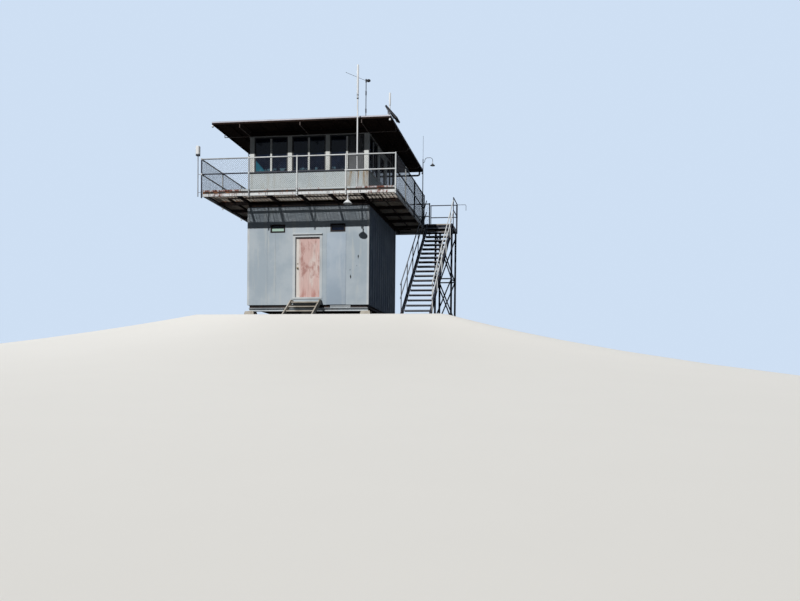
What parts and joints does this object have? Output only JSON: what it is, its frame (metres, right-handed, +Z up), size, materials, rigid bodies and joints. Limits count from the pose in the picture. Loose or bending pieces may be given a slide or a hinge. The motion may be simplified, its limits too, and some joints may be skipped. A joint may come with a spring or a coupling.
{
  "type": "fire lookout tower",
  "caption": "Square glazed lookout cab with a flat roof and railed catwalk, on an enclosed steel-clad room, with an outside stair, landing, masts and lamps.",
  "frame": {"origin": "middle of the underside of the centre pier, on the level that every foot stands on", "axes": "+Z up, -Y towards the front wall with the lower door, +X towards the stair side"},
  "size_m": [8.2232, 6.6874, 8.3073],
  "materials": {
    "concrete": "rough cast concrete",
    "beam_paint": "dark weathered beam paint",
    "floor_boards": "bare floor boards",
    "wall_paint": "light blue-grey paint with chips",
    "trim_paint": "pale folded trim",
    "door_paint": "faded pink-red paint over pale grey",
    "brass_knob": "dull brass",
    "bare_steel": "dull steel",
    "step_wood": "grey weathered timber",
    "glass": "window glass",
    "white_paint": "white paint with rust",
    "grating_steel": "dull galvanised grating",
    "rail_paint": "white pipe paint",
    "cab_paint": "pale grey-white paint, stained",
    "blind_board": "grey painted board",
    "roof_membrane": "pale lavender-grey roofing",
    "roof_timber": "black-brown timber",
    "dark_pipe": "dark paint",
    "white_plastic": "white plastic housing",
    "solar_cell": "dark cells under glass",
    "stair_steel": "dark weathered steel"
  },
  "bodies": {
    "tower": {"foundation_piers": "concrete", "sill_beams": "white_paint", "base_frame": "beam_paint", "base_vent": "trim_paint", "room_floor": "floor_boards", "front_wall_left": "wall_paint", "front_wall_right": "wall_paint", "front_wall_at_door": "wall_paint", "room_wall_right": "wall_paint", "room_wall_back": "wall_paint", "room_wall_left": "wall_paint", "corner_trims": "trim_paint", "door_frame": "trim_paint", "door_hinge_pins": "bare_steel", "door_steps": "step_wood", "window_frames": "cab_paint", "window_glass": "glass", "ring_beams": "beam_paint", "deck_beams": "beam_paint", "deck_edge": "white_paint", "catwalk_grating": "grating_steel", "railing_front": "rail_paint", "railing_back": "rail_paint", "railing_left": "rail_paint", "railing_right": "rail_paint", "cab_floor": "floor_boards", "cab_sill_walls": "cab_paint", "cab_posts": "cab_paint", "window_sills": "cab_paint", "sash_blind": "blind_board", "cab_door": "cab_paint", "cab_door_frame": "cab_paint", "cab_head": "roof_timber", "roof_frame": "roof_timber", "roof_deck": "roof_membrane", "roof_struts": "bare_steel", "roof_balls": "white_plastic", "rear_eave_pipe": "dark_pipe", "stair_stringers": "stair_steel", "stair_treads": "stair_steel", "stair_rails": "rail_paint", "landing_frame": "stair_steel", "landing_grating": "grating_steel", "landing_legs": "stair_steel", "landing_bracing": "stair_steel", "tall_mast": "white_paint", "roof_masts": "bare_steel", "solar_panel": "solar_cell", "antennas": "white_plastic", "radome_pole": "bare_steel", "rear_mast": "dark_pipe", "lamp_shades": "white_paint"},
    "ground_door": {"lower_door": "door_paint", "door_knobs": "brass_knob", "door_hinge_leaves": "bare_steel"},
    "vane": {"wind_vane": "dark_pipe"}
  },
  "joints": [
    {"name": "ground_door_hinge", "type": "hinge", "parent": "tower", "child": "ground_door", "pos_m": [0.43, -2.0148, 1.7], "axis": [0, 0, -1], "range_deg": [0, 100]},
    {"name": "vane_bearing", "type": "hinge", "parent": "tower", "child": "vane", "pos_m": [1.94, -1.95, 7.98], "axis": [0, 0, 1], "continuous": true}
  ]
}
